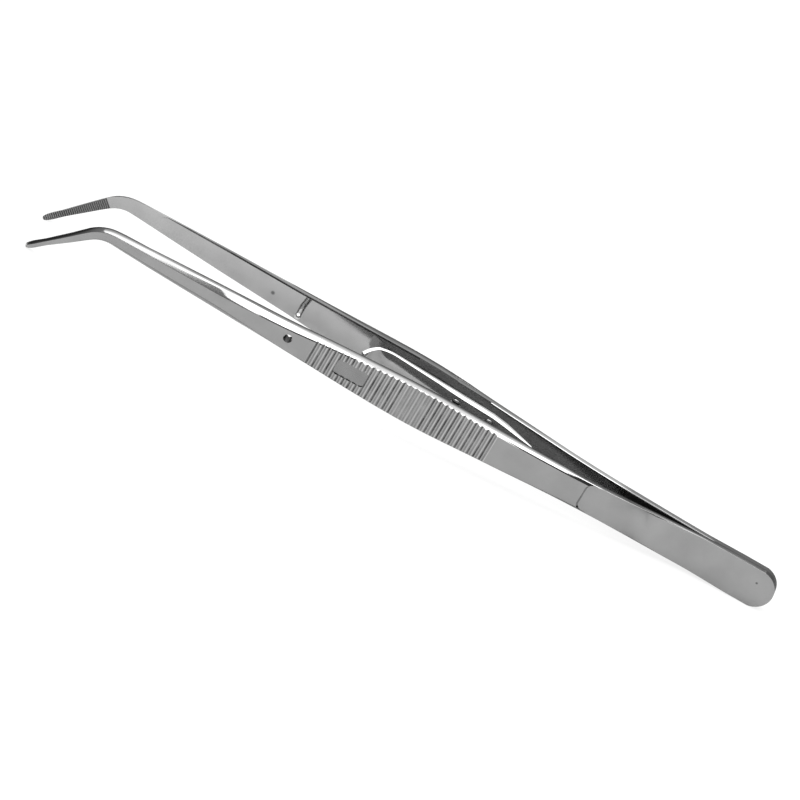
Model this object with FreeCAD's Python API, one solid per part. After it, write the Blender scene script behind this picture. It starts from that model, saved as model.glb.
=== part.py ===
import FreeCAD, Part

import math
import os
from FreeCAD import Vector

# Self-locking angled thumb forceps, in millimetres. Places along a leg are measured from the handle end.
# While a leg is shaped it runs along -X, its width stands along Z, and Y is 0 where the two legs meet.

# Lengths along a leg
WELD_LENGTH = 16.0
STEP_PLACE = 39.3
GRIP_START = 58.0
GRIP_END = 95.2
GRIP_SWELL = 73.0
PIN_PLACE = 99.9
NECK_PLACE = 117.0
BEND_PLACE = 135.7
BEND_RADIUS = 6.6
JAW_ANGLE = 45.0
JAW_LENGTH = 12.9

# Half of the gap between the legs when the spring is open
STEP_HALF_GAP = 1.85
GRIP_START_HALF_GAP = 3.15
GRIP_SWELL_HALF_GAP = 4.05
GRIP_END_HALF_GAP = 5.15
PIN_HALF_GAP = 5.33
NECK_HALF_GAP = 6.1
BEND_HALF_GAP = 6.65
TIP_HALF_GAP = 5.8

# Thickness of one leg
PLATE_THICKNESS = 1.15
STEP_THICKNESS = 1.65
GRIP_START_THICKNESS = 2.15
GRIP_SWELL_THICKNESS = 2.05
GRIP_END_THICKNESS = 2.4
PIN_THICKNESS = 2.6
NECK_THICKNESS = 1.75
BEND_THICKNESS = 1.15
TIP_THICKNESS = 0.85

# Width of the inner side of one leg
HANDLE_WIDTH = 7.8
WELD_END_WIDTH = 7.45
STEP_WIDTH = 6.1
GRIP_START_WIDTH = 6.9
GRIP_SWELL_WIDTH = 7.8
GRIP_END_WIDTH = 6.0
PIN_WIDTH = 5.55
NECK_WIDTH = 4.6
BEND_WIDTH = 2.9
JAW_WIDTH = 2.15
TIP_WIDTH = 0.95

# Width of the outer face of one leg, narrower where the sides are bevelled
STEP_FACE_WIDTH = 5.0
GRIP_START_FACE_WIDTH = 6.0
GRIP_SWELL_FACE_WIDTH = 7.3
GRIP_END_FACE_WIDTH = 4.6
PIN_FACE_WIDTH = 3.9
NECK_FACE_WIDTH = 1.95
BEND_FACE_WIDTH = 1.45
TIP_FACE_WIDTH = 0.45

# Square land at the inner edge, the facet that eases it into the bevel, and the chamfer by the outer face
PLATE_LAND = 1.0
STEP_LAND = 1.25
GRIP_LAND = 1.05
PIN_LAND = 0.9
BEND_LAND = 0.35
EASED_DEPTH = 0.4
EASED_RISE = 0.2
CHAMFER_DEPTH = 0.15
CHAMFER_RISE = 0.22
CHAMFER_SHARE = 0.4
EDGE_BREAK = 0.1

# Finger plate, sunk to the level of the land behind the step
PLATE_CORNER_RADIUS = 1.3
PLATE_RUN_OUT = 7.0
PLATE_EDGE_MARGIN = 0.12
RISER_SLOPE = 0.75

# Ridges across the grip
RIDGE_PITCH = 1.25
RIDGE_DEPTH = 0.27
RIDGE_CREST = 0.36
FADED_START = 71.6
FADED_END = 77.4
FADED_DEPTH = 0.15

# Serrations across the inner side of the jaw
SERRATION_END_MARGIN = 0.1
SERRATION_PITCH = 0.4
SERRATION_DEPTH = 0.13

# Guide pin on the far leg and its hole in the near leg. The pin stands nearer to the jaws than its hole,
# because it swings back as the legs close, and both are above the middle of the leg.
PIN_DIAMETER = 1.2
PIN_REACH = 4.7
PIN_LEAD = 0.4
PIN_RISE = 0.35
GUIDE_HOLE_CLEARANCE = 0.5
FIT_CLEARANCE = 0.02

# Latch leaf on the far leg
LEAF_TAIL_PLACE = 51.5
LEAF_TAIL_LENGTH = 9.5
LEAF_TAIL_WIDTH = 0.7
LEAF_TAIL_THICKNESS = 0.25
LEAF_WIDTH = 4.2
LEAF_THICKNESS = 1.0
HOOK_PLACE = 81.0
HOOK_THICKNESS = 0.6
HOOK_RADIUS = 6.0
HOOK_TURN = 72.0
HOOK_TIP_WIDTH = 2.0

# Depth of the bevels along the leaf's front edges, widest over the rivets
LEAF_TAIL_BEVEL = 0.15
LEAF_RIVETED_BEVEL = 0.85
LEAF_BEVEL = 0.38
RIVETED_START = 58.5
RIVETED_END = 66.5
LEAF_BEVEL_PLACE = 74.0
LEAF_BEVEL_RISE = 0.58

# Rivets through the leaf
RIVET_PLACES = (60.5, 67.5)
RIVET_DIAMETER = 1.1
RIVET_HEAD_DIAMETER = 1.9
RIVET_HEAD_HEIGHT = 0.38
RIVET_DEPTH = 1.3

# Keeper that fills the window in the near leg
KEEPER_PLACE = 87.0
KEEPER_LENGTH = 6.2
KEEPER_HEIGHT = 3.1
KEEPER_CORNER_RADIUS = 0.6
KEEPER_WALL = 0.35
KEEPER_FLOOR = 0.75
KEEPER_SUNK = 0.3
KEEPER_FLANGE_RIM = 0.7
KEEPER_FLANGE_THICKNESS = 0.4

# Cross-sections that each run is lofted through
SHANK_SECTIONS = 34
BEND_SECTIONS = 5
JAW_SECTIONS = 4
TIP_ANGLES = (30.0, 55.0, 75.0)
PLATE_SECTIONS = 8
LEAF_SECTIONS = 10
HOOK_SECTIONS = 10

NEAR = -1
FAR = 1
BEYOND = 5.0


def smooth_profile(points):
    """A function through (place, value) points that never swings past them, flat at each peak."""
    places = [p for p, v in points]
    values = [v for p, v in points]
    runs = [b - a for a, b in zip(places, places[1:])]
    rises = [(b - a) / run for a, b, run in zip(values, values[1:], runs)]
    slopes = [rises[0]]
    for before, after, run_in, run_out in zip(rises, rises[1:], runs, runs[1:]):
        if before * after <= 0:
            slopes.append(0.0)
            continue
        near_weight = 2 * run_out + run_in
        far_weight = run_out + 2 * run_in
        slopes.append((near_weight + far_weight) / (near_weight / before + far_weight / after))
    slopes.append(rises[-1])

    def value_at(place):
        place = min(max(place, places[0]), places[-1])
        index = max(i for i in range(len(runs)) if places[i] <= place or i == 0)
        run = runs[index]
        t = (place - places[index]) / run
        start = (1 + 2 * t) * (1 - t) ** 2 * values[index] + t * (1 - t) ** 2 * run * slopes[index]
        end = t * t * (3 - 2 * t) * values[index + 1] - t * t * (1 - t) * run * slopes[index + 1]
        return start + end

    return value_at


BEND_LENGTH = BEND_RADIUS * math.radians(JAW_ANGLE)
JAW_PLACE = BEND_PLACE + BEND_LENGTH
TIP_PLACE = JAW_PLACE + JAW_LENGTH

half_gap = smooth_profile([
    (WELD_LENGTH, 0.0), (STEP_PLACE, STEP_HALF_GAP), (GRIP_START, GRIP_START_HALF_GAP),
    (GRIP_SWELL, GRIP_SWELL_HALF_GAP), (GRIP_END, GRIP_END_HALF_GAP), (PIN_PLACE, PIN_HALF_GAP),
    (NECK_PLACE, NECK_HALF_GAP), (BEND_PLACE, BEND_HALF_GAP), (JAW_PLACE, BEND_HALF_GAP),
    (TIP_PLACE, TIP_HALF_GAP)])
thickness = smooth_profile([
    (0.0, PLATE_THICKNESS), (WELD_LENGTH, PLATE_THICKNESS), (STEP_PLACE, STEP_THICKNESS),
    (GRIP_START, GRIP_START_THICKNESS), (GRIP_SWELL, GRIP_SWELL_THICKNESS),
    (GRIP_END, GRIP_END_THICKNESS), (PIN_PLACE, PIN_THICKNESS), (NECK_PLACE, NECK_THICKNESS),
    (BEND_PLACE, BEND_THICKNESS), (TIP_PLACE, TIP_THICKNESS)])
inner_width = smooth_profile([
    (0.0, HANDLE_WIDTH), (HANDLE_WIDTH, HANDLE_WIDTH), (WELD_LENGTH, WELD_END_WIDTH),
    (STEP_PLACE, STEP_WIDTH), (GRIP_START, GRIP_START_WIDTH), (GRIP_SWELL, GRIP_SWELL_WIDTH),
    (GRIP_END, GRIP_END_WIDTH), (PIN_PLACE, PIN_WIDTH), (NECK_PLACE, NECK_WIDTH),
    (BEND_PLACE, BEND_WIDTH), (JAW_PLACE, JAW_WIDTH), (TIP_PLACE, TIP_WIDTH)])
face_width = smooth_profile([
    (0.0, HANDLE_WIDTH - EDGE_BREAK), (HANDLE_WIDTH, HANDLE_WIDTH - EDGE_BREAK),
    (WELD_LENGTH, WELD_END_WIDTH - EDGE_BREAK), (STEP_PLACE, STEP_FACE_WIDTH),
    (GRIP_START, GRIP_START_FACE_WIDTH), (GRIP_SWELL, GRIP_SWELL_FACE_WIDTH),
    (GRIP_END, GRIP_END_FACE_WIDTH), (PIN_PLACE, PIN_FACE_WIDTH), (NECK_PLACE, NECK_FACE_WIDTH),
    (BEND_PLACE, BEND_FACE_WIDTH), (TIP_PLACE, TIP_FACE_WIDTH)])
land = smooth_profile([
    (0.0, PLATE_LAND), (WELD_LENGTH, PLATE_LAND), (STEP_PLACE, STEP_LAND), (GRIP_SWELL, GRIP_LAND),
    (PIN_PLACE, PIN_LAND), (BEND_PLACE, BEND_LAND), (TIP_PLACE, BEND_LAND)])


def outer_face(place):
    """Distance of a leg's outer face from the plane where the legs meet."""
    return half_gap(place) + thickness(place)


def on_leg(place, side, out, up):
    """The point at a place along a leg, 'out' from the middle plane and 'up' across the leg."""
    turn = 0.0
    x, z = -place, 0.0
    if place > BEND_PLACE:
        turn = math.radians(JAW_ANGLE) * min((place - BEND_PLACE) / BEND_LENGTH, 1.0)
        x = -BEND_PLACE - BEND_RADIUS * math.sin(turn)
        z = -BEND_RADIUS * (1 - math.cos(turn))
    past_bend = max(place - JAW_PLACE, 0.0)
    x -= past_bend * math.cos(turn) + up * math.sin(turn)
    z += up * math.cos(turn) - past_bend * math.sin(turn)
    return Vector(x, side * out, z)


def polygon(points):
    return Part.makePolygon(points + points[:1])


def prism(points, direction):
    return Part.Face(polygon(points)).extrude(direction)


def leg_section(place, side, scale=1.0):
    """One cross-section: flat inner side, square lands, eased bevels, chamfers and a narrower outer face."""
    inner = half_gap(place)
    outer = inner + thickness(place) * scale
    shoulder = inner + land(place) * scale
    wide = inner_width(place) / 2 * scale
    narrow = min(face_width(place) / 2 * scale, wide)
    below = outer - min(CHAMFER_DEPTH, CHAMFER_SHARE * (outer - shoulder))
    beside = narrow + min(CHAMFER_RISE, CHAMFER_SHARE * (wide - narrow))
    eased = (shoulder + EASED_DEPTH * (below - shoulder), wide - EASED_RISE * (wide - beside))
    spots = [(inner, wide), (shoulder, wide), eased, (below, beside), (outer, narrow)]
    ring = spots + [(out, -up) for out, up in reversed(spots)]
    return polygon([on_leg(place, side, out, up) for out, up in ring])


def spaced(start, end, count):
    return [start + (end - start) * i / count for i in range(count + 1)]


def leg_blank(side):
    """The forged strip: a flat welded end, then one smooth loft to the bend, the jaw and its round tip."""
    welded = Part.makeLoft(
        [leg_section(place, side) for place in (0.0, HANDLE_WIDTH, WELD_LENGTH)], True, True)
    places = spaced(WELD_LENGTH, BEND_PLACE, SHANK_SECTIONS)
    places += spaced(BEND_PLACE, JAW_PLACE, BEND_SECTIONS)[1:]
    tip_radius = TIP_WIDTH / 2
    places += spaced(JAW_PLACE, TIP_PLACE - tip_radius, JAW_SECTIONS)[1:]
    sections = [leg_section(place, side) for place in places]
    for angle in TIP_ANGLES:
        reach = tip_radius * math.sin(math.radians(angle))
        sections.append(leg_section(TIP_PLACE - tip_radius + reach, side, math.cos(math.radians(angle))))
    return welded.fuse(Part.makeLoft(sections, True, False))


def handle_end_cutter():
    """What lies outside the half-round handle end."""
    radius = HANDLE_WIDTH / 2
    depth = 4 * (PLATE_THICKNESS + STEP_THICKNESS)
    block = Part.makeBox(radius + BEYOND, depth, HANDLE_WIDTH + BEYOND)
    block.translate(Vector(-radius, -depth / 2, -(HANDLE_WIDTH + BEYOND) / 2))
    drum = Part.makeCylinder(radius, depth, Vector(-radius, -depth / 2, 0), Vector(0, 1, 0))
    return block.cut(drum)


def plate_outline(side, out, forward):
    """The plate's outline at a distance from the middle plane, with its round front moved towards the jaws."""
    front = STEP_PLACE + forward
    back = WELD_LENGTH / 2
    reach = STEP_WIDTH / 2 - PLATE_EDGE_MARGIN
    radius = PLATE_CORNER_RADIUS
    slant = radius * (1 - math.sqrt(0.5))
    corner = [(front, reach - radius), (front - slant, reach - slant), (front - radius, reach)]
    run_out = (front - radius - PLATE_RUN_OUT, reach + PLATE_EDGE_MARGIN + STEP_LAND / 2)
    wide = (back, HANDLE_WIDTH)

    def spot(pair, sign):
        return Vector(-pair[0], side * out, sign * pair[1])

    def half(sign):
        return [
            Part.Arc(*[spot(pair, sign) for pair in corner]).toShape(),
            Part.makeLine(spot(corner[2], sign), spot(run_out, sign)),
            Part.makeLine(spot(run_out, sign), spot(wide, sign))]

    ends = [Part.makeLine(spot(pair, 1), spot(pair, -1)) for pair in (corner[0], wide)]
    return Part.Wire(Part.__sortEdges__(half(1) + half(-1) + ends))


def plate_cutter(side):
    """What lies above the finger plate, with round front corners and a sloped riser at the step."""
    back = WELD_LENGTH / 2
    front = STEP_PLACE + BEYOND
    floor = Part.BSplineCurve()
    floor.interpolate(
        [on_leg(p, side, half_gap(p) + STEP_LAND, 0) for p in spaced(back, front, PLATE_SECTIONS)])
    high = STEP_HALF_GAP + STEP_THICKNESS + BEYOND
    rim = [on_leg(front, side, high, 0), on_leg(back, side, high, 0)]
    sheet = Part.Face(Part.Wire([
        floor.toShape(), Part.makeLine(floor.EndPoint, rim[0]), Part.makeLine(rim[0], rim[1]),
        Part.makeLine(rim[1], floor.StartPoint)]))
    sheet.translate(Vector(0, 0, -HANDLE_WIDTH))
    above = sheet.extrude(Vector(0, 0, 2 * HANDLE_WIDTH))
    low = STEP_HALF_GAP
    outlines = [
        plate_outline(side, out, (out - STEP_HALF_GAP - STEP_LAND) * RISER_SLOPE) for out in (low, high)]
    return above.common(Part.makeLoft(outlines, True, True))


def ridge_cutter(side):
    """The comb that leaves the ridges: a crest and a groove for each pitch, shallow where they have worn."""
    count = round((GRIP_END - GRIP_START) / RIDGE_PITCH)
    pitch = (GRIP_END - GRIP_START) / count
    low = [on_leg(GRIP_START, side, outer_face(GRIP_START) + FIT_CLEARANCE, 0)]
    for index in range(count):
        start = GRIP_START + index * pitch + RIDGE_CREST
        end = GRIP_START + (index + 1) * pitch
        valley = (start + end) / 2
        depth = FADED_DEPTH if FADED_START < valley < FADED_END else RIDGE_DEPTH
        low.append(on_leg(start, side, outer_face(start) + FIT_CLEARANCE, 0))
        low.append(on_leg(valley, side, outer_face(valley) - depth, 0))
        low.append(on_leg(end, side, outer_face(end) + FIT_CLEARANCE, 0))
    high = outer_face(GRIP_END) + BEYOND
    low.append(on_leg(GRIP_END, side, high, 0))
    low.append(on_leg(GRIP_START, side, high, 0))
    comb = prism(low, Vector(0, 0, 2 * HANDLE_WIDTH))
    comb.translate(Vector(0, 0, -HANDLE_WIDTH))
    return comb


def serration_cutter(side):
    """The fine comb for the inner side of the jaw, one notch for each pitch."""
    end = TIP_PLACE - SERRATION_END_MARGIN
    start = JAW_PLACE
    count = round((end - start) / SERRATION_PITCH)
    pitch = (end - start) / count
    reach = JAW_WIDTH
    low = []
    for index in range(count):
        place = start + index * pitch
        middle = place + pitch / 2
        low.append(on_leg(place, side, half_gap(place) - FIT_CLEARANCE, -reach))
        low.append(on_leg(middle, side, half_gap(middle) + SERRATION_DEPTH, -reach))
    low.append(on_leg(end, side, half_gap(end) - FIT_CLEARANCE, -reach))
    low.append(on_leg(end, side, half_gap(end) - JAW_WIDTH, -reach))
    low.append(on_leg(start, side, half_gap(start) - JAW_WIDTH, -reach))
    across = on_leg(end, side, 0, reach) - on_leg(end, side, 0, -reach)
    return prism(low, across)


def leg(side):
    """A finished leg, without the holes that only one of the two has."""
    blank = leg_blank(side)
    return blank.cut([handle_end_cutter(), plate_cutter(side), ridge_cutter(side), serration_cutter(side)])


def cross_pin(place, side, start, end, diameter, up=0.0):
    """A round bar across a leg, between two distances from the middle plane."""
    return Part.makeCylinder(diameter / 2, end - start, on_leg(place, side, start, up), Vector(0, side, 0))


def rivet_bar(place, start, end, diameter):
    """A round bar that stands square on the far leg's inner side, between two distances from it."""
    seat = half_gap(place)
    return leaned(cross_pin(place, FAR, seat + start, seat + end, diameter), place, FAR)


def rounded_block(place, side, start, end, length, height, radius):
    """A block with round corners across the near or far leg, between two distances from the middle plane."""
    block = Part.makeBox(length, end - start, height)
    block.translate(Vector(-place - length / 2, min(side * start, side * end), -height / 2))
    upright = [e for e in block.Edges if abs(e.tangentAt(e.FirstParameter).y) > 0.5]
    return block.makeFillet(radius, upright)


def inner_slope(place):
    """Lean of a leg's inner side at a place, in degrees."""
    step = KEEPER_LENGTH / 2
    return math.degrees(math.atan2(half_gap(place + step) - half_gap(place - step), 2 * step))


def leaned(shape, place, side):
    """Turns a piece modelled square to the middle plane so that it sits square on the leg's inner side."""
    centre = on_leg(place, side, half_gap(place), 0)
    shape.rotate(centre, Vector(0, 0, 1), -side * inner_slope(place))
    return shape


def near_leg():
    body = leg(NEAR)
    hole = PIN_DIAMETER + GUIDE_HOLE_CLEARANCE
    guide = cross_pin(PIN_PLACE, NEAR, 0.0, outer_face(PIN_PLACE) + BEYOND, hole, PIN_RISE)
    window = rounded_block(
        KEEPER_PLACE, NEAR, half_gap(KEEPER_PLACE) - BEYOND, outer_face(KEEPER_PLACE) + BEYOND,
        KEEPER_LENGTH, KEEPER_HEIGHT, KEEPER_CORNER_RADIUS)
    return body.cut([guide, leaned(window, KEEPER_PLACE, NEAR)])


def far_leg():
    body = leg(FAR)
    stand = PIN_PLACE + PIN_LEAD
    holes = [cross_pin(stand, FAR, 0.0, outer_face(stand) + BEYOND, PIN_DIAMETER, PIN_RISE)]
    for place in RIVET_PLACES:
        holes.append(rivet_bar(place, -BEYOND, RIVET_DEPTH, RIVET_DIAMETER))
    return body.cut(holes)


def guide_pin():
    """The pin from the far leg's outer face to its round tip between the legs."""
    diameter = PIN_DIAMETER - FIT_CLEARANCE
    stand = PIN_PLACE + PIN_LEAD
    tip = PIN_HALF_GAP - PIN_REACH + diameter / 2
    shank = cross_pin(stand, FAR, tip, outer_face(stand) - EDGE_BREAK, diameter, PIN_RISE)
    return shank.fuse(Part.makeSphere(diameter / 2, on_leg(stand, FAR, tip, PIN_RISE)))


leaf_thickness = smooth_profile([
    (LEAF_TAIL_PLACE, LEAF_TAIL_THICKNESS), (LEAF_TAIL_PLACE + LEAF_TAIL_LENGTH, LEAF_THICKNESS),
    (RIVET_PLACES[1], LEAF_THICKNESS), (HOOK_PLACE, HOOK_THICKNESS)])
leaf_width = smooth_profile([
    (LEAF_TAIL_PLACE, LEAF_TAIL_WIDTH), (LEAF_TAIL_PLACE + LEAF_TAIL_LENGTH, LEAF_WIDTH),
    (HOOK_PLACE, LEAF_WIDTH)])
leaf_bevel = smooth_profile([
    (LEAF_TAIL_PLACE, LEAF_TAIL_BEVEL), (RIVETED_START, LEAF_RIVETED_BEVEL),
    (RIVETED_END, LEAF_RIVETED_BEVEL), (LEAF_BEVEL_PLACE, LEAF_BEVEL), (HOOK_PLACE, LEAF_BEVEL)])


def bar_section(corner_place, corner_out, across, width, deep, bevel):
    """A strip's section, square to its run, with its back at the given point and bevelled front edges."""
    back = Vector(-corner_place, corner_out, 0)
    shoulder = back + across * (deep - bevel)
    front = back + across * deep
    rise = Vector(0, 0, width / 2)
    flat = Vector(0, 0, width / 2 - bevel * LEAF_BEVEL_RISE)
    return polygon(
        [back - rise, back + rise, shoulder + rise, front + flat, front - flat, shoulder - rise])


def latch_spring():
    """The leaf: a feathered pointed tail, a flat run on the far leg, and a hook that narrows to its end."""
    sections = []
    for place in spaced(LEAF_TAIL_PLACE, HOOK_PLACE, LEAF_SECTIONS):
        back = half_gap(place) - FIT_CLEARANCE
        sections.append(bar_section(
            place, back, Vector(0, -1, 0), leaf_width(place), leaf_thickness(place), leaf_bevel(place)))
    slope = math.radians(inner_slope(HOOK_PLACE))
    back = half_gap(HOOK_PLACE) - FIT_CLEARANCE
    for index in range(1, HOOK_SECTIONS + 1):
        turn = math.radians(HOOK_TURN) * index / HOOK_SECTIONS
        place = HOOK_PLACE + HOOK_RADIUS * (math.sin(turn - slope) + math.sin(slope))
        out = back - HOOK_RADIUS * (math.cos(slope) - math.cos(turn - slope))
        across = Vector(math.sin(turn - slope), -math.cos(turn - slope), 0)
        narrowing = max(2 * index / HOOK_SECTIONS - 1, 0)
        width = LEAF_WIDTH + (HOOK_TIP_WIDTH - LEAF_WIDTH) * narrowing
        sections.append(bar_section(place, out, across, width, HOOK_THICKNESS, LEAF_BEVEL))
    leaf = Part.makeLoft(sections, True, True)
    return leaf.cut([rivet_bar(place, -BEYOND, BEYOND, RIVET_DIAMETER) for place in RIVET_PLACES])


def rivet(place):
    """One rivet: a shank sunk into the far leg and a domed head on the leaf."""
    seat = -leaf_thickness(place) - 3 * FIT_CLEARANCE
    shank = rivet_bar(place, seat, RIVET_DEPTH - FIT_CLEARANCE, RIVET_DIAMETER - FIT_CLEARANCE)
    radius = RIVET_HEAD_DIAMETER / 2
    dome_radius = (radius ** 2 + RIVET_HEAD_HEIGHT ** 2) / (2 * RIVET_HEAD_HEIGHT)
    centre = half_gap(place) + seat - RIVET_HEAD_HEIGHT + dome_radius
    dome = leaned(Part.makeSphere(dome_radius, on_leg(place, FAR, centre, 0)), place, FAR)
    return shank.fuse(dome.common(rivet_bar(place, seat - BEYOND, seat, 2 * RIVET_HEAD_DIAMETER)))


def latch_rivets():
    return Part.makeCompound([rivet(place) for place in RIVET_PLACES])


def latch_keeper():
    """The plug in the near leg's window, with a flange on the inner side and a pocket for the hook."""
    seat = half_gap(KEEPER_PLACE)
    face = outer_face(KEEPER_PLACE) - KEEPER_SUNK
    fit = 2 * FIT_CLEARANCE
    plug = rounded_block(
        KEEPER_PLACE, NEAR, seat - KEEPER_FLANGE_THICKNESS / 2, face,
        KEEPER_LENGTH - fit, KEEPER_HEIGHT - fit, KEEPER_CORNER_RADIUS)
    flange = rounded_block(
        KEEPER_PLACE, NEAR, seat - FIT_CLEARANCE - KEEPER_FLANGE_THICKNESS, seat - FIT_CLEARANCE,
        KEEPER_LENGTH + 2 * KEEPER_FLANGE_RIM, KEEPER_HEIGHT + 2 * KEEPER_FLANGE_RIM,
        KEEPER_CORNER_RADIUS)
    pocket = rounded_block(
        KEEPER_PLACE, NEAR, seat - BEYOND, face - KEEPER_FLOOR,
        KEEPER_LENGTH - 2 * KEEPER_WALL, KEEPER_HEIGHT - 2 * KEEPER_WALL, KEEPER_CORNER_RADIUS / 2)
    return leaned(plug.fuse(flange).cut(pocket), KEEPER_PLACE, NEAR)


def rest_placement(shapes):
    """Lays the forceps on its edge: the jaw tips and the handle end touch the ground."""
    tip_radius = TIP_WIDTH / 2
    end_radius = HANDLE_WIDTH / 2
    tip = on_leg(TIP_PLACE - tip_radius, NEAR, 0, 0)
    span = -end_radius - tip.x
    reach = math.hypot(span, tip.z)
    pitch = math.atan2(-tip.z, span) - math.asin((end_radius - tip_radius) / reach)
    turned = [shape.copy() for shape in shapes]
    for shape in turned:
        shape.rotate(Vector(0, 0, 0), Vector(0, 1, 0), math.degrees(pitch))
    box = Part.makeCompound(turned).optimalBoundingBox(True, False)
    move = Vector(-(box.XMin + box.XMax) / 2, -(box.YMin + box.YMax) / 2, -box.ZMin)
    for shape in turned:
        shape.translate(move)
    return turned


def main():
    nodes = {
        "near_leg": near_leg(),
        "far_leg": far_leg(),
        "guide_pin": guide_pin(),
        "latch_spring": latch_spring(),
        "latch_rivets": latch_rivets(),
        "latch_keeper": latch_keeper(),
    }
    os.makedirs("parts", exist_ok=True)
    for name, shape in zip(nodes, rest_placement(list(nodes.values()))):
        box = shape.BoundBox
        print(f"{name}: {len(shape.Solids)} solid, valid {shape.isValid()}, {shape.Volume:.2f} mm3,"
              f" x {box.XMin:.2f} to {box.XMax:.2f}, y {box.YMin:.2f} to {box.YMax:.2f},"
              f" z {box.ZMin:.2f} to {box.ZMax:.2f}")
        shape.exportStep(f"parts/{name}.step")


main()
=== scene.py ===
import math

import bmesh
import bpy
from mathutils import Matrix, Vector


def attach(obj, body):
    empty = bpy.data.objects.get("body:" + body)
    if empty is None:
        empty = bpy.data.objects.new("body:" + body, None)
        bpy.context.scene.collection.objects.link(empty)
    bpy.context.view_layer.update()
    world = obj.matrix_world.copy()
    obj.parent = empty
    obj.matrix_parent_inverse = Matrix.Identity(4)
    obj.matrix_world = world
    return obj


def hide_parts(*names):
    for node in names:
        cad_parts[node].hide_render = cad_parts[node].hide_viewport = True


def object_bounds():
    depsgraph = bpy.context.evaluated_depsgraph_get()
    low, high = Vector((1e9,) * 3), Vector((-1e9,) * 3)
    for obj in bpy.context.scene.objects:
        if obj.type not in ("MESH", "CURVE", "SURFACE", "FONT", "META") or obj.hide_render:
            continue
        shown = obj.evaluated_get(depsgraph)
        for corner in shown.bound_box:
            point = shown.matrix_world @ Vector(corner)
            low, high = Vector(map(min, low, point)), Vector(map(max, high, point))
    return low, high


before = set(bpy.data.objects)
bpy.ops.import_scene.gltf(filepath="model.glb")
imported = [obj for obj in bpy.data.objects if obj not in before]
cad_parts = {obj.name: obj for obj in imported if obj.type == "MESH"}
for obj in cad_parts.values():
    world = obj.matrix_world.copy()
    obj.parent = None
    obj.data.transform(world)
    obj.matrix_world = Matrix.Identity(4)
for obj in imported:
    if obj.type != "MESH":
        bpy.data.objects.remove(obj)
CAD_LOW, CAD_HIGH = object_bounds()

bl_info = {
    "name": "Thumb Forceps Dresser",
    "version": (1, 0, 0),
    "blender": (4, 5, 0),
    "location": "3D View > Sidebar > Forceps",
    "description": "Dresses the packed forceps in their steel finishes and sets a small studio",
    "category": "Object",
}

MM = 0.001

# The legs lie pitched on the floor. A place along a leg is measured from the round handle end,
# whose centre is one end radius inside it.
PITCH = math.radians(2.873)
END_RADIUS = 3.9 * MM
GRIP_START = 58 * MM
GRIP_END = 95.2 * MM
RIDGE_PITCH = 1.24 * MM
FADED = (71.6 * MM, 77.4 * MM)

# The eased inner edges run from the bend to the joined end. In front the far leg's is stoned to a
# steep narrow facet, whose height fades out at both its ends.
INNER_EDGE_FRONT = -58 * MM
INNER_EDGE_BACK = 59.5 * MM
STONED_WIDTH = 0.08 * MM
STONED_HEIGHT = 0.25 * MM
STONED_FADE = 10 * MM
# From here backwards the narrow outer chamfer keeps a crisp border. In front the buffing blends it.
CRISP_FROM = -33.5 * MM
CRISP_RISE = math.sin(math.radians(46))
# Share of a unit normal along an axis past which a face counts as square to that axis.
SQUARE = 0.97
# Share past which a face counts as leaning outwards.
LEANING = 0.3
# Node, name, side, where the rounding of the inner edge starts, and the angle under which facets
# blend into one buffed curve. The far leg's facets stay crisper.
LEGS = (
    ("near_leg", "near_sprung_leg", -1, INNER_EDGE_FRONT, math.radians(28)),
    ("far_leg", "far_sprung_leg", 1, 9 * MM, math.radians(12)),
)

# Stretches along the forceps over which one treatment of the steel passes into the next.
AT_STEP = (40.5 * MM, 43.5 * MM)
AT_WELD = (57.5 * MM, 61 * MM)
BEHIND_HOOK = (-20 * MM, -8 * MM)
BEND_TO_PIN = (-45 * MM, -15 * MM)
# Shares of the steel's brightness that are taken away to fit the photo: on the plate's edges, and as
# painted shade on the near leg's inner side and on the outer chamfer; and the share that the
# chamfers which face the floor keep under their painted shade.
PLATE_EDGE_LOSS = 0.42
INNER_SIDE_PAINTED_SHADE = 0.45
CHAMFER_PAINTED_SHADE = 0.8
SHADED_UNDERSIDE_SHARE = 0.5
# The painted shade along the inner border on top of the near leg: the lean of the normal at which it
# starts and ends, and the brightness that it loses, each towards the handle and as what the bend
# adds to it.
BORDER_START = (-0.08, -0.68)
BORDER_END = (0.1, -0.65)
BORDER_PAINTED_SHADE = (-0.45, -0.38)
# Small rust-dark pits: place in the row frame and radius, in millimetres.
PITS = (((71.2, -1.15, 5.05), 0.3), ((-31.2, 5.6, 8.6), 0.5))

# Brightness of the softbox's face and of the room's dim and pale parts, where white is 1.
SOFTBOX_LEVEL = 2.9
ROOM_LEVELS = (0.2, 1.9)
BODY = "root"


def linear(code):
    """Linear RGB of an sRGB hex colour such as 9f9f9f."""
    shares = [int(code[i : i + 2], 16) / 255 for i in (0, 2, 4)]
    return tuple(
        s / 12.92 if s <= 0.04045 else ((s + 0.055) / 1.055) ** 2.4 for s in shares
    )


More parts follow.
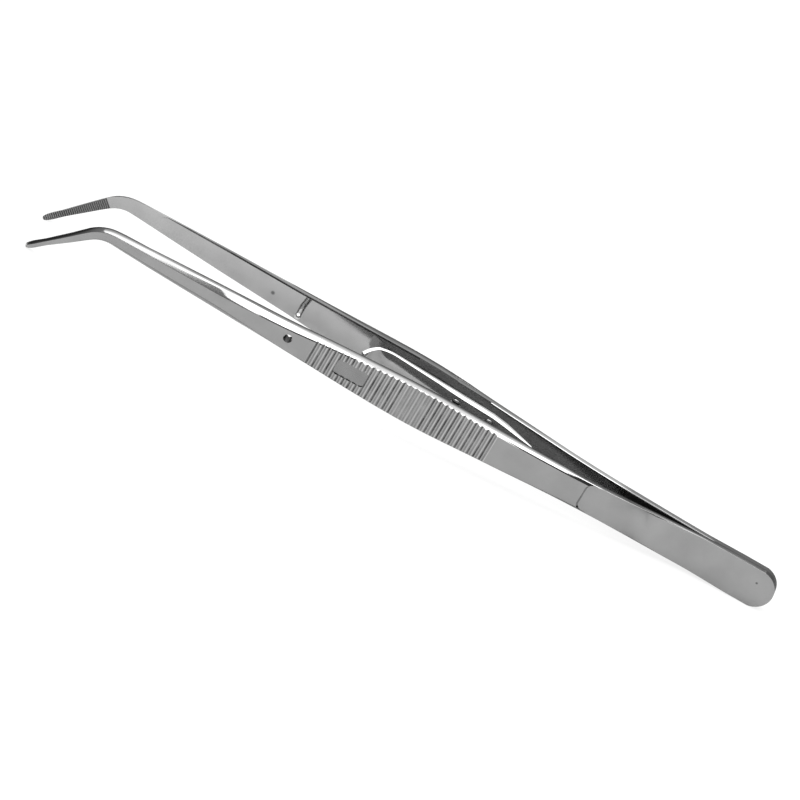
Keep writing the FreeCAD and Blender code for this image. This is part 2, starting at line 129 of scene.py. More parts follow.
class ForcepsFinish(bpy.types.PropertyGroup):
    satin_colour: bpy.props.FloatVectorProperty(
        name="Satin steel",
        description="Colour of the fine-blasted outer faces of both legs",
        subtype="COLOR",
        default=linear("9a9a9a"),
        min=0,
        max=1,
    )
    polished_colour: bpy.props.FloatVectorProperty(
        name="Polished steel",
        description="Colour of the bevels, the leaf, the pin and the rivets",
        subtype="COLOR",
        default=linear("ababab"),
        min=0,
        max=1,
    )
    pin_colour: bpy.props.FloatVectorProperty(
        name="Pin steel",
        description="Colour of the turned guide pin",
        subtype="COLOR",
        default=linear("d4d4d4"),
        min=0,
        max=1,
    )
    weld_colour: bpy.props.FloatVectorProperty(
        name="Ground weld",
        description="Colour of the ground sides of the joined handle end",
        subtype="COLOR",
        default=linear("767676"),
        min=0,
        max=1,
    )
    keeper_colour: bpy.props.FloatVectorProperty(
        name="Keeper face",
        description="Colour of the smooth field in the grip",
        subtype="COLOR",
        default=linear("8a8a8a"),
        min=0,
        max=1,
    )
    satin_roughness: bpy.props.FloatProperty(
        name="Satin roughness",
        description="Roughness of the blasted faces",
        default=0.34,
        min=0,
        max=1,
        subtype="FACTOR",
    )
    polished_roughness: bpy.props.FloatProperty(
        name="Polished roughness",
        description="Roughness of the polished steel",
        default=0.12,
        min=0,
        max=1,
        subtype="FACTOR",
    )


class ForcepsEdges(bpy.types.PropertyGroup):
    inner_edge: bpy.props.FloatProperty(
        name="Inner edge",
        description="Radius of the rounded inner top edge of each leg",
        default=0.3 * MM,
        min=0,
        unit="LENGTH",
        precision=5,
    )
    leaf_round: bpy.props.FloatProperty(
        name="Leaf edge",
        description="Radius of the tumbled edges of the latch leaf",
        default=0.06 * MM,
        min=0,
        unit="LENGTH",
        precision=5,
    )


class ForcepsStage(bpy.types.PropertyGroup):
    azimuth: bpy.props.FloatProperty(
        name="Azimuth",
        description="Turn of the camera round the forceps",
        default=math.radians(-0.05),
        subtype="ANGLE",
    )
    elevation: bpy.props.FloatProperty(
        name="Elevation",
        description="Height of the camera above the floor",
        default=math.radians(29.16),
        subtype="ANGLE",
    )
    roll: bpy.props.FloatProperty(
        name="Roll",
        description="Turn of the camera about its own axis",
        default=math.radians(27.44),
        subtype="ANGLE",
    )
    distance: bpy.props.FloatProperty(
        name="Distance",
        description="Distance from the camera to the middle of the forceps",
        default=1.419,
        unit="LENGTH",
    )
    field: bpy.props.FloatProperty(
        name="Field",
        description="Width of the picture at the forceps",
        default=0.14538,
        unit="LENGTH",
    )
    floor_size: bpy.props.FloatProperty(
        name="Floor",
        description="Side of the square floor",
        default=4.0,
        unit="LENGTH",
    )
    box_size: bpy.props.FloatProperty(
        name="Softbox",
        description="Extent of the softbox along the forceps",
        default=0.7,
        unit="LENGTH",
    )
    box_depth: bpy.props.FloatProperty(
        name="Softbox depth",
        description="Extent of the softbox from front to back",
        default=0.652,
        unit="LENGTH",
    )
    box_back: bpy.props.FloatProperty(
        name="Softbox offset",
        description="How far the softbox's middle stands behind the forceps, negative in front",
        default=-0.116,
        unit="LENGTH",
    )
    box_height: bpy.props.FloatProperty(
        name="Softbox height",
        description="Height of the softbox over the floor",
        default=0.45,
        unit="LENGTH",
    )


# Sideways and upward slide of the camera that frames the forceps as the photograph does.
CAMERA_SLIDE = (-2.229 * MM, -0.727 * MM)
CAMERA_AIM = Vector((0, 0, 6 * MM))
SENSOR = 36


# Painted light and shade across one pitch of the ridges, counted from the handle side of a crest, as
# half of the factor on the steel's colour: painted highlight on the crest, greyer flank towards the
# jaws, groove floor and painted shade on the flank towards the handle.
RIDGE_LIGHT_STOPS = (
    (0.0, 0.58),
    (0.05, 0.78),
    (0.1, 0.76),
    (0.15, 0.56),
    (0.22, 0.36),
    (0.29, 0.25),
    (0.36, 0.24),
    (0.43, 0.38),
    (0.5, 0.44),
    (0.57, 0.36),
    (0.65, 0.2),
    (0.73, 0.09),
    (0.79, 0.08),
    (0.86, 0.16),
    (0.93, 0.36),
    (1.0, 0.58),
)


def add_node(tree, kind, links=None, **settings):
    """Adds a node, sets its settings, and links or sets its inputs."""
    made = tree.nodes.new(kind)
    for name, value in settings.items():
        setattr(made, name, value)
    for socket, source in (links or {}).items():
        if isinstance(source, bpy.types.NodeSocket):
            tree.links.new(source, made.inputs[socket])
        else:
            made.inputs[socket].default_value = source
    return made


def new_material(name):
    """An empty node material and its tree."""
    material = bpy.data.materials.new(name)
    material.use_nodes = True
    material.node_tree.nodes.clear()
    return material, material.node_tree


def rgba(colour, factor=1.0):
    return (*[c * factor for c in colour], 1)


def ridge_painted_light(tree, place, outward):
    """A factor for the grip's colour: painted highlights on the crests, and painted shade on the
    flanks.
    """
    run = add_node(
        tree,
        "ShaderNodeVectorMath",
        {0: place.outputs["Object"], 1: (-math.cos(PITCH), 0, math.sin(PITCH))},
        operation="DOT_PRODUCT",
    )
    centre = CAD_HIGH.x - END_RADIUS
    offset = centre * math.cos(PITCH) - END_RADIUS * math.sin(PITCH) + END_RADIUS
    along = add_node(
        tree,
        "ShaderNodeMath",
        {0: run.outputs["Value"], 1: offset - GRIP_START},
        operation="ADD",
    )
    turns = add_node(
        tree, "ShaderNodeMath", {0: along.outputs[0], 1: RIDGE_PITCH}, operation="DIVIDE"
    )
    phase = add_node(tree, "ShaderNodeMath", {0: turns.outputs[0]}, operation="FRACT")
    ramp = add_node(tree, "ShaderNodeValToRGB", {0: phase.outputs[0]})
    stops = ramp.color_ramp.elements
    for position, _ in RIDGE_LIGHT_STOPS[1:-1]:
        stops.new(position)
    for stop, (position, grey) in zip(stops, RIDGE_LIGHT_STOPS):
        stop.position = position
        stop.color = (grey, grey, grey, 1)
    doubled = add_node(
        tree, "ShaderNodeMath", {0: ramp.outputs[0], 1: 2.0}, operation="MULTIPLY"
    )
    span = GRIP_END - GRIP_START
    inside = add_node(
        tree,
        "ShaderNodeMath",
        {0: along.outputs[0], 1: span / 2, 2: span / 2},
        operation="COMPARE",
    )
    faded = add_node(
        tree,
        "ShaderNodeMath",
        {
            0: along.outputs[0],
            1: sum(FADED) / 2 - GRIP_START,
            2: (FADED[1] - FADED[0]) / 2,
        },
        operation="COMPARE",
    )
    kept = add_node(
        tree,
        "ShaderNodeMath",
        {0: faded.outputs[0], 1: -0.4, 2: inside.outputs[0]},
        operation="MULTIPLY_ADD",
    )
    outside = add_node(
        tree, "ShaderNodeMapRange", {0: outward.outputs[0], 1: 0.3, 2: 0.5}
    )
    amount = add_node(
        tree,
        "ShaderNodeMath",
        {0: kept.outputs[0], 1: outside.outputs[0]},
        operation="MULTIPLY",
    )
    # Patches of a few millimetres where the painted light and shade are weaker.
    patches = add_node(
        tree,
        "ShaderNodeTexNoise",
        {0: place.outputs["Object"], "Scale": 1 / (2.5 * MM), "Detail": 2.0},
    )
    strength = add_node(
        tree,
        "ShaderNodeMapRange",
        {0: patches.outputs[0], 1: 0.3, 2: 0.6, 3: 0.6, 4: 1.0},
    )
    share = add_node(
        tree,
        "ShaderNodeMath",
        {0: amount.outputs[0], 1: strength.outputs[0]},
        operation="MULTIPLY",
    )
    return add_node(
        tree,
        "ShaderNodeMix",
        {0: share.outputs[0], 2: 1.0, 3: doubled.outputs[0]},
    ).outputs[0]


def satin_and_polished_steel(finish):
    """Martensitic stainless steel, forged and ground. The outer faces are glass-blasted to an even
    satin, while bevels, top and bottom sides and the inner faces are buffed along the leg. Painted
    shade darkens parts of the near leg and the chamfers, and painted light and shade mark the
    ridges."""
    material, tree = new_material("blasted_and_buffed_stainless")
    place = add_node(tree, "ShaderNodeTexCoord")
    parts = add_node(tree, "ShaderNodeSeparateXYZ", {0: place.outputs["Object"]})
    facing = add_node(tree, "ShaderNodeSeparateXYZ", {0: place.outputs["Normal"]})
    # A face is an outer one where its normal points away from the plane between the legs.
    side = add_node(
        tree, "ShaderNodeMath", {0: parts.outputs["Y"]}, operation="SIGN"
    )
    outward = add_node(
        tree,
        "ShaderNodeMath",
        {0: facing.outputs["Y"], 1: side.outputs[0]},
        operation="MULTIPLY",
    )
    outer = add_node(
        tree,
        "ShaderNodeMapRange",
        {0: outward.outputs[0], 1: 0.93, 2: 0.985, 3: 0.0, 4: 1.0},
    )
    # Behind the step the blasting also went over the edges of the handle plate and dulled them.
    plate = add_node(
        tree,
        "ShaderNodeMapRange",
        {0: parts.outputs["X"], 1: AT_STEP[0], 2: AT_STEP[1], 3: 0.0, 4: 1.0},
    )
    satin = add_node(
        tree,
        "ShaderNodeMath",
        {0: outer.outputs[0], 1: plate.outputs[0]},
        operation="MAXIMUM",
    )
    dulled = add_node(
        tree,
        "ShaderNodeMath",
        {0: satin.outputs[0], 1: outer.outputs[0]},
        operation="SUBTRACT",
    )
    dull = add_node(
        tree,
        "ShaderNodeMath",
        {0: dulled.outputs[0], 1: -PLATE_EDGE_LOSS, 2: 1.0},
        operation="MULTIPLY_ADD",
    )
    # Buffing lines run along the leg: really a few microns apart, drawn 0.25 mm apart so that they
    # show.
    along = add_node(
        tree,
        "ShaderNodeMapping",
        {0: place.outputs["Object"], "Scale": (0.05, 1, 1)},
    )
    lines = add_node(
        tree,
        "ShaderNodeTexNoise",
        {0: along.outputs[0], "Scale": 1 / (0.5 * MM), "Detail": 3.0, "Roughness": 0.6},
    )
    # Blasting grain: glass beads of about 0.1 mm leave dimples, drawn 0.3 mm wide.
    grain = add_node(
        tree,
        "ShaderNodeTexNoise",
        {0: place.outputs["Object"], "Scale": 1 / (0.45 * MM), "Detail": 2.0},
    )
    # Faint cloudy patches, about 6 mm wide, left by hand work.
    clouds = add_node(
        tree,
        "ShaderNodeTexNoise",
        {0: place.outputs["Object"], "Scale": 1 / (6 * MM), "Detail": 2.0},
    )
    cloudy = add_node(
        tree,
        "ShaderNodeMapRange",
        {0: clouds.outputs[0], 1: 0.3, 2: 0.7, 3: 0.93, 4: 1.06},
    )
    tone = add_node(
        tree,
        "ShaderNodeMix",
        {
            0: satin.outputs[0],
            6: rgba(finish.polished_colour),
            7: rgba(finish.satin_colour),
        },
        data_type="RGBA",
    )
    # The top and bottom sides of the joined end are ground flush after welding.
    joined = add_node(
        tree,
        "ShaderNodeMapRange",
        {0: parts.outputs["X"], 1: AT_WELD[0], 2: AT_WELD[1], 3: 0.0, 4: 1.0},
    )
    flat = add_node(
        tree, "ShaderNodeMath", {0: outward.outputs[0]}, operation="ABSOLUTE"
    )
    edge = add_node(
        tree,
        "ShaderNodeMapRange",
        {0: flat.outputs[0], 1: 0.3, 2: 0.6, 3: 1.0, 4: 0.0},
    )
    ground = add_node(
        tree,
        "ShaderNodeMath",
        {0: joined.outputs[0], 1: edge.outputs[0]},
        operation="MULTIPLY",
    )
    worked = add_node(
        tree,
        "ShaderNodeMix",
        {
            0: ground.outputs[0],
            6: tone.outputs[2],
            7: rgba(finish.weld_colour),
        },
        data_type="RGBA",
    )
    # Painted shade on the near leg's inner side behind the hook, between the legs. It doesn't show
    # in
    # the photo: this is fitted to the dark face of the far leg, which mirrors it.
    between = add_node(
        tree,
        "ShaderNodeMapRange",
        {0: parts.outputs["X"], 1: BEHIND_HOOK[0], 2: BEHIND_HOOK[1], 3: 0.0, 4: 1.0},
    )
    turned_in = add_node(
        tree,
        "ShaderNodeMapRange",
        {0: facing.outputs["Y"], 1: 0.5, 2: 0.8, 3: 0.0, 4: 1.0},
    )
    near = add_node(
        tree, "ShaderNodeMath", {0: parts.outputs["Y"], 1: 0.0}, operation="LESS_THAN"
    )
    near_inner = add_node(
        tree,
        "ShaderNodeMath",
        {0: turned_in.outputs[0], 1: near.outputs[0]},
        operation="MULTIPLY",
    )
    # Painted shade on the near leg's inner side.
    painted_gap_shade = add_node(
        tree,
        "ShaderNodeMath",
        {0: between.outputs[0], 1: near_inner.outputs[0]},
        operation="MULTIPLY",
    )
    deep = add_node(
        tree,
        "ShaderNodeMath",
        {0: painted_gap_shade.outputs[0], 1: -INNER_SIDE_PAINTED_SHADE, 2: dull.outputs[0]},
        operation="MULTIPLY_ADD",
    )
    # Painted shade: the top of the near leg darkens towards its inner border, over most of the top
    # at the bend and only by a hair towards the handle. Fitted to the photo; it stands in for the
    # shade of a rounder section.
    forward = add_node(
        tree,
        "ShaderNodeMapRange",
        {0: parts.outputs["X"], 1: BEND_TO_PIN[0], 2: BEND_TO_PIN[1], 3: 1.0, 4: 0.0},
    )
    border_start = add_node(
        tree,
        "ShaderNodeMath",
        {0: forward.outputs[0], 1: BORDER_START[1], 2: BORDER_START[0]},
        operation="MULTIPLY_ADD",
    )
    border_end = add_node(
        tree,
        "ShaderNodeMath",
        {0: forward.outputs[0], 1: BORDER_END[1], 2: BORDER_END[0]},
        operation="MULTIPLY_ADD",
    )
    border = add_node(
        tree,
        "ShaderNodeMapRange",
        {
            0: facing.outputs["Y"],
            1: border_start.outputs[0],
            2: border_end.outputs[0],
            3: 0.0,
            4: 1.0,
        },
    )
    upward = add_node(
        tree, "ShaderNodeMath", {0: facing.outputs["Z"], 1: 0.5}, operation="GREATER_THAN"
    )
    upper_border = add_node(
        tree,
        "ShaderNodeMath",
        {0: border.outputs[0], 1: upward.outputs[0]},
        operation="MULTIPLY",
    )
    # Painted shade along the inner border on top of the near leg.
    painted_border_shade = add_node(
        tree,
        "ShaderNodeMath",
        {0: upper_border.outputs[0], 1: near.outputs[0]},
        operation="MULTIPLY",
    )
    fade = add_node(
        tree,
        "ShaderNodeMath",
        {0: forward.outputs[0], 1: BORDER_PAINTED_SHADE[1], 2: BORDER_PAINTED_SHADE[0]},
        operation="MULTIPLY_ADD",
    )
    rimmed = add_node(
        tree,
        "ShaderNodeMath",
        {0: painted_border_shade.outputs[0], 1: fade.outputs[0], 2: deep.outputs[0]},
        operation="MULTIPLY_ADD",
    )
    # Painted shade on the chamfers that face the floor, darker than the upper ones to fit the photo.
    painted_underside_shade = add_node(
        tree,
        "ShaderNodeMapRange",
        {0: facing.outputs["Z"], 1: -0.45, 2: -0.2, 3: SHADED_UNDERSIDE_SHARE, 4: 1.0},
    )
    left = add_node(
        tree,
        "ShaderNodeMath",
        {0: rimmed.outputs[0], 1: painted_underside_shade.outputs[0]},
        operation="MULTIPLY",
    )
    # A painted dark line on the narrow chamfer round the outer face, not on the plate and fading out
    # towards the bend: painted shade in place of a dark reflection, fitted to the photo.
    chamfer = add_node(
        tree,
        "ShaderNodeMath",
        {0: facing.outputs["Z"], 1: 0.52, 2: 0.08},
        operation="COMPARE",
    )
    lined = add_node(
        tree,
        "ShaderNodeMath",
        {0: chamfer.outputs[0], 1: plate.outputs[0]},
        operation="SUBTRACT",
        use_clamp=True,
    )
    faint = add_node(
        tree,
        "ShaderNodeMath",
        {0: lined.outputs[0], 1: forward.outputs[0]},
        operation="SUBTRACT",
        use_clamp=True,
    )
    # Painted shade: the dark line on the outer chamfer.
    line = add_node(
        tree,
        "ShaderNodeMath",
        {0: faint.outputs[0], 1: -CHAMFER_PAINTED_SHADE, 2: left.outputs[0]},
        operation="MULTIPLY_ADD",
    )
    # Painted light and shade on the grip's ridges.
    ridge_light = ridge_painted_light(tree, place, outward)
    pits_and_painted_shade = add_node(
        tree,
        "ShaderNodeMath",
        {0: cloudy.outputs[0], 1: line.outputs[0]},
        operation="MULTIPLY",
    ).outputs[0]
    for spot, radius in PITS:
        away = add_node(
            tree,
            "ShaderNodeVectorMath",
            {0: place.outputs["Object"], 1: [c * MM for c in spot]},
            operation="DISTANCE",
        )
        clean = add_node(
            tree,
            "ShaderNodeMapRange",
            {
                0: away.outputs["Value"],
                1: radius * 0.4 * MM,
                2: radius * MM,
                3: 0.35,
                4: 1.0,
            },
        )
        pits_and_painted_shade = add_node(
            tree, "ShaderNodeMath", {0: pits_and_painted_shade, 1: clean.outputs[0]}, operation="MULTIPLY"
        ).outputs[0]
    shade = add_node(
        tree, "ShaderNodeMath", {0: pits_and_painted_shade, 1: ridge_light}, operation="MULTIPLY"
    )
    colour = add_node(
        tree,
        "ShaderNodeVectorMath",
        {0: worked.outputs[2], "Scale": shade.outputs[0]},
        operation="SCALE",
    )
    rough = add_node(
        tree,
        "ShaderNodeMapRange",
        {
            0: satin.outputs[0],
            1: 0.0,
            2: 1.0,
            3: finish.polished_roughness,
            4: finish.satin_roughness,
        },
    )
    ground_rough = add_node(
        tree,
        "ShaderNodeMath",
        {0: ground.outputs[0], 1: 0.25, 2: rough.outputs[0]},
        operation="MULTIPLY_ADD",
    )
    surface = add_node(
        tree,
        "ShaderNodeMix",
        {0: satin.outputs[0], 2: lines.outputs[0], 3: grain.outputs[0]},
    )
    uneven = add_node(
        tree,
        "ShaderNodeMapRange",
        {0: surface.outputs[0], 1: 0.3, 2: 0.7, 3: -0.03, 4: 0.03},
    )
    roughness = add_node(
        tree,
        "ShaderNodeMath",
        {0: ground_rough.outputs[0], 1: uneven.outputs[0]},
        operation="ADD",
    )
    relief = add_node(
        tree,
        "ShaderNodeBump",
        {"Strength": 0.25, "Distance": 0.004 * MM, "Height": surface.outputs[0]},
    )
    shader = add_node(
        tree,
        "ShaderNodeBsdfPrincipled",
        {
            "Base Color": colour.outputs[0],
            "Metallic": 1.0,
            "Roughness": roughness.outputs[0],
            "Normal": relief.outputs[0],
        },
    )
    add_node(tree, "ShaderNodeOutputMaterial", {0: shader.outputs[0]})
    return material


def polished_steel(name, colour, roughness, wear):
    """Hardened steel, tumbled and buffed bright, with fine lengthwise hairlines and light handling
    marks."""
    material, tree = new_material(name)
    place = add_node(tree, "ShaderNodeTexCoord")
    along = add_node(
        tree,
        "ShaderNodeMapping",
        {0: place.outputs["Object"], "Scale": (0.06, 1, 1)},
    )
    # Hairlines: really under 0.05 mm apart, drawn 0.2 mm apart so that they show.
    lines = add_node(
        tree,
        "ShaderNodeTexNoise",
        {0: along.outputs[0], "Scale": 1 / (0.4 * MM), "Detail": 3.0},
    )
    smears = add_node(
        tree,
        "ShaderNodeTexNoise",
        {0: place.outputs["Object"], "Scale": 1 / (3 * MM), "Detail": 2.0},
    )
    shade = add_node(
        tree,
        "ShaderNodeMapRange",
        {0: smears.outputs[0], 1: 0.35, 2: 0.7, 3: 1 - wear, 4: 1.0},
    )
    tint = add_node(
        tree,
        "ShaderNodeVectorMath",
        {0: (*colour,), "Scale": shade.outputs[0]},
        operation="SCALE",
    )
    gloss = add_node(
        tree,
        "ShaderNodeMapRange",
        {0: lines.outputs[0], 1: 0.3, 2: 0.7, 3: roughness - 0.03, 4: roughness + 0.05},
    )
    relief = add_node(
        tree,
        "ShaderNodeBump",
        {"Strength": 0.2, "Distance": 0.003 * MM, "Height": lines.outputs[0]},
    )
    shader = add_node(
        tree,
        "ShaderNodeBsdfPrincipled",
        {
            "Base Color": tint.outputs[0],
            "Metallic": 1.0,
            "Roughness": gloss.outputs[0],
            "Normal": relief.outputs[0],
        },
    )
    add_node(tree, "ShaderNodeOutputMaterial", {0: shader.outputs[0]})
    return material


def turned_steel(finish):
    """Turned stainless pin. The tool left rings round it, which spread the light along it."""
    material, tree = new_material("turned_stainless")
    place = add_node(tree, "ShaderNodeTexCoord")
    # Turning rings, 0.12 mm apart.
    rings = add_node(
        tree,
        "ShaderNodeTexWave",
        {0: place.outputs["Object"], "Scale": math.pi / (10 * 0.12 * MM), "Distortion": 0.6},
        bands_direction="Y",
    )
    relief = add_node(
        tree,
        "ShaderNodeBump",
        {"Strength": 1.0, "Distance": 0.008 * MM, "Height": rings.outputs[1]},
    )
    tint = add_node(
        tree,
        "ShaderNodeMix",
        {
            0: rings.outputs[1],
            6: rgba(finish.pin_colour, 0.92),
            7: rgba(finish.pin_colour),
        },
        data_type="RGBA",
    )
    shader = add_node(
        tree,
        "ShaderNodeBsdfPrincipled",
        {
            "Base Color": tint.outputs[2],
            "Metallic": 1.0,
            "Roughness": 0.16,
            "Normal": relief.outputs[0],
        },
    )
    add_node(tree, "ShaderNodeOutputMaterial", {0: shader.outputs[0]})
    return material


def dress(name, material):
    """Puts a finish on a CAD node's slots."""
    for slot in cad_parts[name].material_slots:
        slot.material = material


def merged_copy(node, name):
    """A copy of a CAD node whose loose triangles are merged, selected and active."""
    bpy.ops.object.select_all(action="DESELECT")
    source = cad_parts[node]
    copy = bpy.data.objects.new(name, source.data.copy())
    bpy.context.scene.collection.objects.link(copy)
    bpy.context.view_layer.objects.active = copy
    copy.select_set(True)
    bpy.ops.mesh.customdata_custom_splitnormals_clear()
    bpy.ops.object.mode_set(mode="EDIT")
    bpy.ops.mesh.select_all(action="SELECT")
    bpy.ops.mesh.remove_doubles(threshold=0.001 * MM)
    bpy.ops.mesh.dissolve_limited(angle_limit=math.radians(1))
    bpy.ops.object.mode_set(mode="OBJECT")
    return copy


def stand_in(piece, node, material):
    """Lets a piece stand for a CAD node in one finish."""
    piece.data.materials.clear()
    piece.data.materials.append(material)
    for face in piece.data.polygons:
        face.material_index = 0
    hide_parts(node)
    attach(piece, BODY)


def by_rise(edge):
    """The normals of the two faces at an edge, the lower one first, or None at a loose edge."""
    if len(edge.link_faces) != 2:
        return None
    return sorted((face.normal for face in edge.link_faces), key=lambda n: n.z)


def inner_top_edges(shape, side, front, back):
    """The edges between two places along a leg where its top meets its inner face."""
    found = []
    for edge in shape.edges:
        normals = by_rise(edge)
        if not normals or not all(front < corner.co.x < back for corner in edge.verts):
            continue
        low, high = normals
        if -side * low.y > SQUARE and high.z > SQUARE:
            found.append(edge)
    return found


def inner_borders(faces, side):
    """The edges where newly made faces meet the flat inner face of a leg."""
    made = set(faces)
    found = []
    for edge in {edge for face in made for edge in face.edges}:
        beyond = [other for other in edge.link_faces if other not in made]
        if beyond and -side * beyond[0].normal.y > SQUARE:
            found.append(edge)
    return found


def ease_edges(leg, side, radius, round_from):
    """Rounds the top edge along a leg's inner face from one place backwards, stones it steep in
    front of that, and keeps the border of the outer chamfer crisp."""
    shape = bmesh.new()
    shape.from_mesh(leg.data)
    for edge in shape.edges:
        normals = by_rise(edge)
        if not normals or min(corner.co.x for corner in edge.verts) < CRISP_FROM:
            continue
        low, high = normals
        leaning = min(side * low.y, side * high.y) > LEANING
        if leaning and low.z < CRISP_RISE < high.z:
            edge.smooth = False
    rounded = bmesh.ops.bevel(
        shape,
        geom=inner_top_edges(shape, side, round_from, INNER_EDGE_BACK),
        offset=radius,
        segments=4,
        profile=0.5,
        affect="EDGES",
    )
    for edge in inner_borders(rounded["faces"], side):
        edge.smooth = False
    stoned = inner_top_edges(shape, side, INNER_EDGE_FRONT, round_from)
    if stoned:
        facets = bmesh.ops.bevel(
            shape, geom=stoned, offset=STONED_WIDTH, segments=1, affect="EDGES"
        )["faces"]
        lower = {corner for edge in inner_borders(facets, side) for corner in edge.verts}
        for face in facets:
            for edge in face.edges:
                edge.smooth = False
        for corner in lower:
            near_end = min(corner.co.x - INNER_EDGE_FRONT, round_from - corner.co.x)
            corner.co.z -= STONED_HEIGHT * min(max(near_end / STONED_FADE, 0), 1)
    shape.to_mesh(leg.data)
    shape.free()


def softened_copy(node, name, width):
    """A merged copy of a CAD node whose sharp edges are rounded."""
    copy = merged_copy(node, name)
    rounded = copy.modifiers.new("tumbled_edges", "BEVEL")
    rounded.width = width
    rounded.segments = 4
    rounded.limit_method = "ANGLE"
    rounded.angle_limit = math.radians(50)
    rounded.use_clamp_overlap = True
    bpy.ops.object.modifier_apply(modifier=rounded.name)
    bpy.ops.object.shade_smooth_by_angle(angle=math.radians(45))
    return copy


class FORCEPS_OT_legs(bpy.types.Operator):
    """Give both sprung legs their satin faces and buffed bevels"""

    bl_idname = "forceps.legs"
    bl_label = "Sprung Legs"

    def execute(self, context):
        steel = satin_and_polished_steel(context.scene.forceps_finish)
        radius = context.scene.forceps_edges.inner_edge
        for node, name, side, round_from, blend in LEGS:
            leg = merged_copy(node, name)
            ease_edges(leg, side, radius, round_from)
            bpy.ops.object.shade_smooth_by_angle(angle=blend)
            stand_in(leg, node, steel)
        return {"FINISHED"}


class FORCEPS_OT_guide_pin(bpy.types.Operator):
    """Give the guide pin its bright turned finish"""

    bl_idname = "forceps.guide_pin"
    bl_label = "Guide Pin"

    def execute(self, context):
        dress("guide_pin", turned_steel(context.scene.forceps_finish))
        return {"FINISHED"}


class FORCEPS_OT_latch_leaf(bpy.types.Operator):
    """Stand a leaf with tumbled edges in the place of the latch spring"""

    bl_idname = "forceps.latch_leaf"
    bl_label = "Latch Leaf"

    def execute(self, context):
        finish = context.scene.forceps_finish
        leaf_round = context.scene.forceps_edges.leaf_round
        leaf = softened_copy("latch_spring", "latch_leaf", leaf_round)
        stand_in(
            leaf,
            "latch_spring",
            polished_steel("tumbled_spring_steel", finish.polished_colour, 0.1, 0.06),
        )
        return {"FINISHED"}


class FORCEPS_OT_rivets(bpy.types.Operator):
    """Give the rivets of the leaf their burnished heads"""

    bl_idname = "forceps.rivets"
    bl_label = "Latch Rivets"

    def execute(self, context):
        finish = context.scene.forceps_finish
        dress(
            "latch_rivets",
            polished_steel("burnished_rivet_steel", finish.polished_colour, 0.1, 0.12),
        )
        return {"FINISHED"}


class FORCEPS_OT_keeper(bpy.types.Operator):
    """Give the keeper plug its smooth, slightly darker face"""

    bl_idname = "forceps.keeper"
    bl_label = "Latch Keeper"

    def execute(self, context):
        finish = context.scene.forceps_finish
        dress(
            "latch_keeper",
            polished_steel("lapped_stainless", finish.keeper_colour, 0.26, 0.1),
        )
        return {"FINISHED"}


def floor_material():
    """Matt white card. The camera sees it near the level of white, and it takes a soft shadow."""
    material, tree = new_material("matt_white_card")
    path = add_node(tree, "ShaderNodeLightPath")
    seen = add_node(
        tree,
        "ShaderNodeMath",
        {0: path.outputs["Is Camera Ray"], 1: path.outputs["Is Glossy Ray"]},
        operation="ADD",
        use_clamp=True,
    )
    glossy_share = add_node(
        tree, "ShaderNodeMath", {0: seen.outputs[0], 1: 0.3}, operation="MULTIPLY"
    )
    share = add_node(
        tree,
        "ShaderNodeMath",
        {0: path.outputs["Is Camera Ray"], 1: 0.55, 2: glossy_share.outputs[0]},
        operation="MULTIPLY_ADD",
    )
    paper = add_node(
        tree,
        "ShaderNodeMix",
        {
            0: path.outputs["Is Glossy Ray"],
            6: rgba(linear("f2f2f2")),
            7: rgba(linear("c8c8c8")),
        },
        data_type="RGBA",
    )
    card = add_node(tree, "ShaderNodeBsdfDiffuse", {"Color": paper.outputs[2]})
    glow = add_node(tree, "ShaderNodeEmission", {"Color": (1, 1, 1, 1), "Strength": 1.0})
    mixed = add_node(
        tree,
        "ShaderNodeMixShader",
        {0: share.outputs[0], 1: card.outputs[0], 2: glow.outputs[0]},
    )
    add_node(tree, "ShaderNodeOutputMaterial", {0: mixed.outputs[0]})
    return material


def make_world():
    """A dim room, darker near the horizon and towards the camera, with a pale wall behind. The
    camera itself sees white."""
    world = bpy.data.worlds.new("dim_studio")
    bpy.context.scene.world = world
    world.use_nodes = True
    tree = world.node_tree
    tree.nodes.clear()
    where = add_node(tree, "ShaderNodeTexCoord")
    parts = add_node(tree, "ShaderNodeSeparateXYZ", {0: where.outputs["Generated"]})
    height = add_node(
        tree,
        "ShaderNodeMapRange",
        {0: parts.outputs["Z"], 1: 0.28, 2: 0.85, 3: 0.0, 4: 1.0},
        interpolation_type="SMOOTHSTEP",
    )
    behind = add_node(
        tree,
        "ShaderNodeMapRange",
        {0: parts.outputs["Y"], 1: -0.35, 2: 0.1, 3: 0.15, 4: 1.0},
        interpolation_type="SMOOTHSTEP",
    )
    wall = add_node(
        tree,
        "ShaderNodeMath",
        {0: height.outputs[0], 1: behind.outputs[0]},
        operation="MULTIPLY",
    )
    room = add_node(
        tree,
        "ShaderNodeMapRange",
        {0: wall.outputs[0], 1: 0, 2: 1, 3: ROOM_LEVELS[0], 4: ROOM_LEVELS[1]},
    )
    path = add_node(tree, "ShaderNodeLightPath")
    level = add_node(
        tree,
        "ShaderNodeMix",
        {0: path.outputs["Is Camera Ray"], 2: room.outputs[0], 3: 1.0},
    )
    shine = add_node(
        tree,
        "ShaderNodeBackground",
        {"Color": (1, 1, 1, 1), "Strength": level.outputs[0]},
    )
    add_node(tree, "ShaderNodeOutputWorld", {0: shine.outputs[0]})


def make_lamps(stage):
    """One wide softbox over the forceps."""
    bpy.ops.object.light_add(
        type="AREA", location=(0, stage.box_back, stage.box_height)
    )
    box = bpy.context.object
    box.name = "softbox"
    box.data.shape = "RECTANGLE"
    box.data.size = stage.box_size
    box.data.size_y = stage.box_depth
    # The watts that give the face its level.
    box.data.energy = SOFTBOX_LEVEL * math.pi * stage.box_size * stage.box_depth


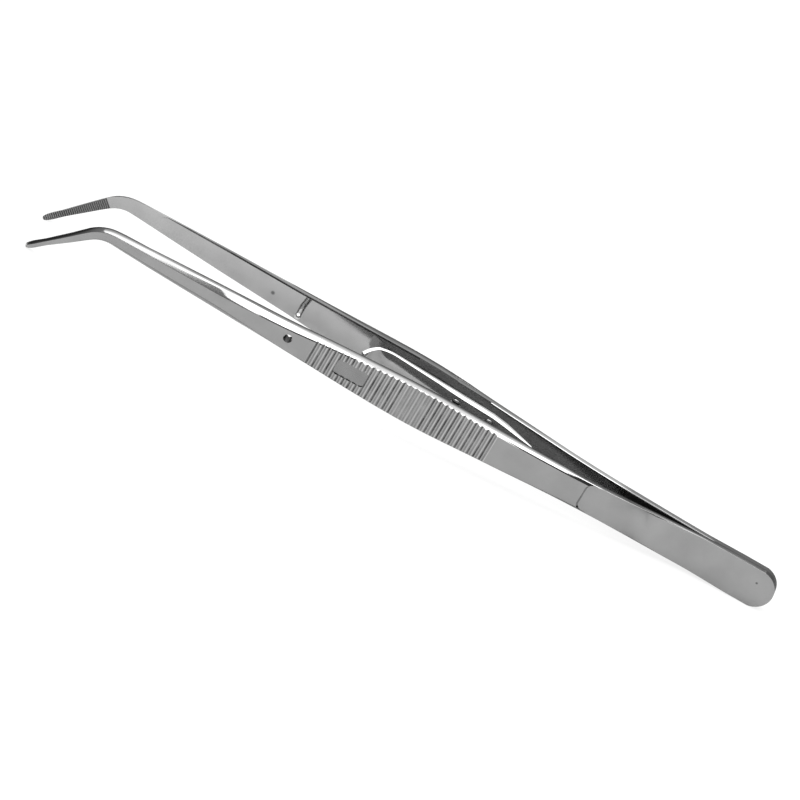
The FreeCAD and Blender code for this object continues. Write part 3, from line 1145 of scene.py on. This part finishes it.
def make_camera(stage):
    """Long lens from the photograph's angle, rolled so that the forceps lie across the picture."""
    a, e, r = stage.azimuth, stage.elevation, stage.roll
    back = Vector(
        (math.sin(a) * math.cos(e), -math.cos(a) * math.cos(e), math.sin(e))
    )
    level = Vector((math.cos(a), math.sin(a), 0))
    upright = back.cross(level)
    right = level * math.cos(r) + upright * math.sin(r)
    up = upright * math.cos(r) - level * math.sin(r)
    aim = CAMERA_AIM + right * CAMERA_SLIDE[0] + up * CAMERA_SLIDE[1]
    data = bpy.data.cameras.new("long_lens")
    data.sensor_width = SENSOR
    data.lens = SENSOR * stage.distance / stage.field
    data.clip_start, data.clip_end = 0.05, 20
    camera = bpy.data.objects.new("camera", data)
    bpy.context.scene.collection.objects.link(camera)
    turn = Matrix((right, up, back)).transposed().to_4x4()
    camera.matrix_world = Matrix.Translation(aim + back * stage.distance) @ turn
    bpy.context.scene.camera = camera


class FORCEPS_OT_stage(bpy.types.Operator):
    """Set the floor, the softbox, the room and the camera"""

    bl_idname = "forceps.stage"
    bl_label = "Stage"

    def execute(self, context):
        stage = context.scene.forceps_stage
        bpy.ops.object.select_all(action="DESELECT")
        bpy.ops.mesh.primitive_grid_add(
            x_subdivisions=8, y_subdivisions=8, size=stage.floor_size
        )
        floor = context.object
        floor.name = "floor"
        floor.data.materials.append(floor_material())
        make_world()
        make_lamps(stage)
        make_camera(stage)
        context.scene.view_settings.view_transform = "Standard"
        return {"FINISHED"}


class FORCEPS_PT_panel(bpy.types.Panel):
    bl_idname = "FORCEPS_PT_panel"
    bl_label = "Thumb Forceps"
    bl_space_type = "VIEW_3D"
    bl_region_type = "UI"
    bl_category = "Forceps"

    def draw(self, context):
        for made in OPERATORS:
            self.layout.operator(made.bl_idname)
        for group in ("forceps_finish", "forceps_edges", "forceps_stage"):
            values = getattr(context.scene, group)
            box = self.layout.box()
            for name in values.__annotations__:
                box.prop(values, name)


GROUPS = {
    "forceps_finish": ForcepsFinish,
    "forceps_edges": ForcepsEdges,
    "forceps_stage": ForcepsStage,
}
OPERATORS = (
    FORCEPS_OT_legs,
    FORCEPS_OT_guide_pin,
    FORCEPS_OT_latch_leaf,
    FORCEPS_OT_rivets,
    FORCEPS_OT_keeper,
    FORCEPS_OT_stage,
)


def register():
    for made in (*GROUPS.values(), *OPERATORS, FORCEPS_PT_panel):
        bpy.utils.register_class(made)
    for name, group in GROUPS.items():
        setattr(bpy.types.Scene, name, bpy.props.PointerProperty(type=group))


def unregister():
    for name in GROUPS:
        delattr(bpy.types.Scene, name)
    for made in (FORCEPS_PT_panel, *OPERATORS, *GROUPS.values()):
        bpy.utils.unregister_class(made)


def main():
    register()
    for made in OPERATORS:
        section, action = made.bl_idname.split(".")
        getattr(getattr(bpy.ops, section), action)()


if __name__ == "__main__":
    main()
